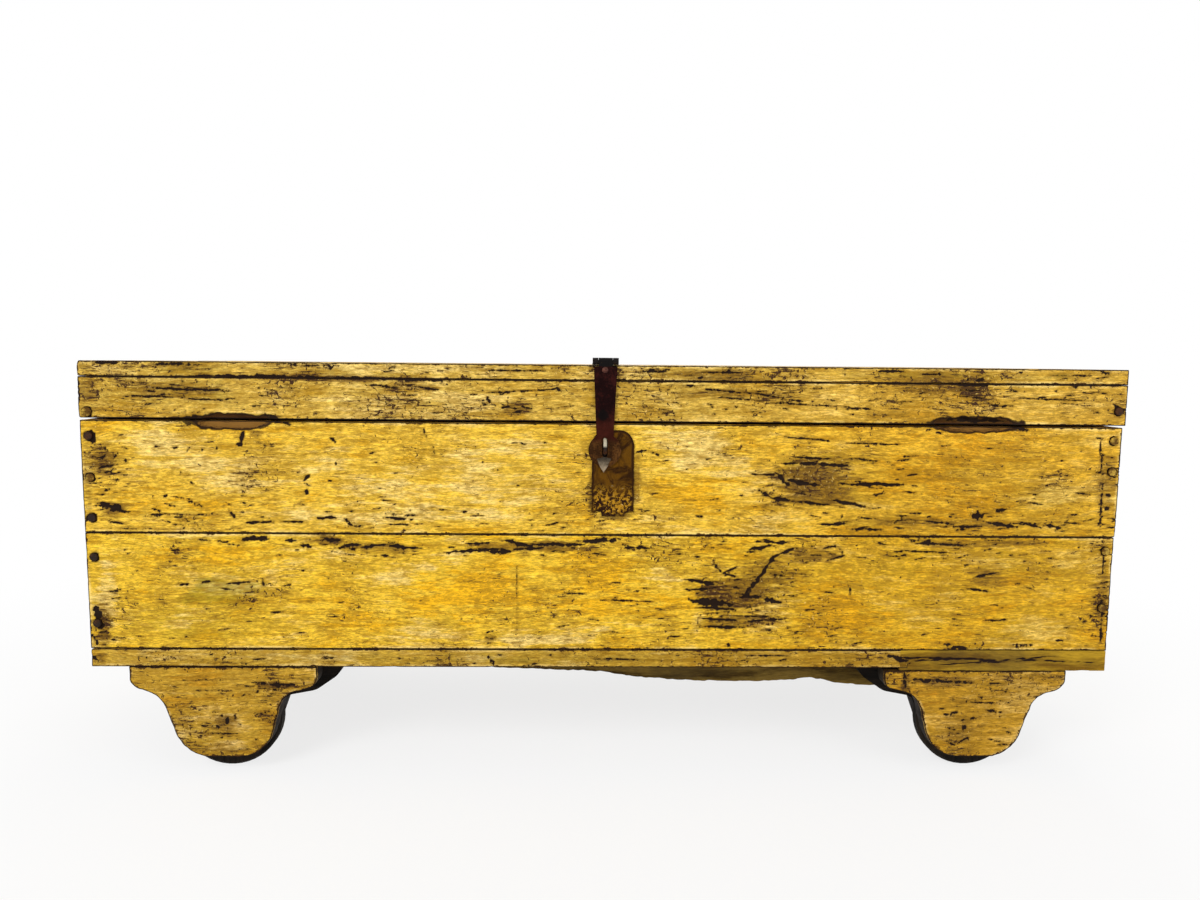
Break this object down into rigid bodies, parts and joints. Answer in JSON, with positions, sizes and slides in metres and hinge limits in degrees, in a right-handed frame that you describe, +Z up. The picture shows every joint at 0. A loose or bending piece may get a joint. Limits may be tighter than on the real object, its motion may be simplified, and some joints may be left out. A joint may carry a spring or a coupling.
{
  "type": "blanket chest",
  "caption": "Long plank blanket chest with a hinged box lid, an iron hasp and staple, shaped feet and small wooden wheels.",
  "frame": {"origin": "on the ground, under the middle of the chest's box, where the wheels stand", "axes": "+X along the length, to the viewer's right from the front; the front faces -Y; +Z up"},
  "size_m": [1.5, 0.6143, 0.619],
  "materials": {
    "painted_wood": "worn mustard-yellow paint",
    "bare_wood": "bare, aged",
    "dark_wood": "blackened",
    "old_iron": "dark rust"
  },
  "bodies": {
    "chest": {"front_plank_upper": "painted_wood", "front_plank_lower": "painted_wood", "back_plank_upper": "painted_wood", "back_plank_lower": "painted_wood", "left_end_upper": "painted_wood", "left_end_lower": "painted_wood", "right_end_upper": "painted_wood", "right_end_lower": "painted_wood", "floor_board_front": "painted_wood", "floor_board_front_repair": "bare_wood", "floor_board_middle": "painted_wood", "floor_board_back": "painted_wood", "bearer_plank": "dark_wood", "cheek_outer_front_left": "painted_wood", "cheek_outer_front_right": "painted_wood", "cheek_outer_back_left": "painted_wood", "cheek_outer_back_right": "painted_wood", "cheek_inner_front_left": "dark_wood", "cheek_inner_front_right": "dark_wood", "cheek_inner_back_left": "dark_wood", "cheek_inner_back_right": "dark_wood", "axle_front_left": "old_iron", "axle_front_right": "old_iron", "axle_back_left": "old_iron", "axle_back_right": "old_iron", "hinge_chest_leaf_left": "old_iron", "hinge_chest_leaf_right": "old_iron", "hinge_pin_left": "old_iron", "hinge_pin_right": "old_iron", "staple": "old_iron", "staple_plate": "old_iron", "nail_left_upper_1": "old_iron", "nail_left_upper_2": "old_iron", "nail_left_upper_3": "old_iron", "nail_left_lower_1": "old_iron", "nail_left_lower_2": "old_iron", "nail_right_upper_1": "old_iron", "nail_right_upper_2": "old_iron", "nail_right_lower_1": "old_iron", "nail_right_lower_2": "old_iron"},
    "lid": {"lid_board_front": "painted_wood", "lid_board_middle": "painted_wood", "lid_board_back": "painted_wood", "lid_rail_front": "painted_wood", "lid_rail_back": "painted_wood", "lid_rail_left": "painted_wood", "lid_rail_right": "painted_wood", "lid_batten_left": "painted_wood", "lid_batten_right": "painted_wood", "lid_screw": "old_iron", "lid_nail": "old_iron", "hinge_lid_leaf_left": "old_iron", "hinge_lid_leaf_right": "old_iron", "hasp_leaf": "old_iron", "hasp_pin": "old_iron"},
    "hasp": {"hasp_strap": "old_iron"},
    "wheel_front_left": {"wheel_front_left": "dark_wood"},
    "wheel_front_right": {"wheel_front_right": "dark_wood"},
    "wheel_back_left": {"wheel_back_left": "dark_wood"},
    "wheel_back_right": {"wheel_back_right": "dark_wood"}
  },
  "joints": [
    {"name": "lid_hinge", "type": "hinge", "parent": "chest", "child": "lid", "pos_m": [0, 0.30115, 0.52623], "axis": [-1, 0, 0], "range_deg": [0, 110]},
    {"name": "hasp_hinge", "type": "hinge", "parent": "lid", "child": "hasp", "pos_m": [-0.0055, -0.28505, 0.61393], "axis": [-1, 0, 0], "range_deg": [0, 240]},
    {"name": "wheel_front_left_spin", "type": "hinge", "parent": "chest", "child": "wheel_front_left", "pos_m": [-0.566, -0.24215, 0.07733], "axis": [0, 1, 0], "continuous": true},
    {"name": "wheel_front_right_spin", "type": "hinge", "parent": "chest", "child": "wheel_front_right", "pos_m": [0.5555, -0.24215, 0.07733], "axis": [0, 1, 0], "continuous": true},
    {"name": "wheel_back_left_spin", "type": "hinge", "parent": "chest", "child": "wheel_back_left", "pos_m": [-0.566, 0.25185, 0.07733], "axis": [0, 1, 0], "continuous": true},
    {"name": "wheel_back_right_spin", "type": "hinge", "parent": "chest", "child": "wheel_back_right", "pos_m": [0.5555, 0.25185, 0.07733], "axis": [0, 1, 0], "continuous": true}
  ]
}
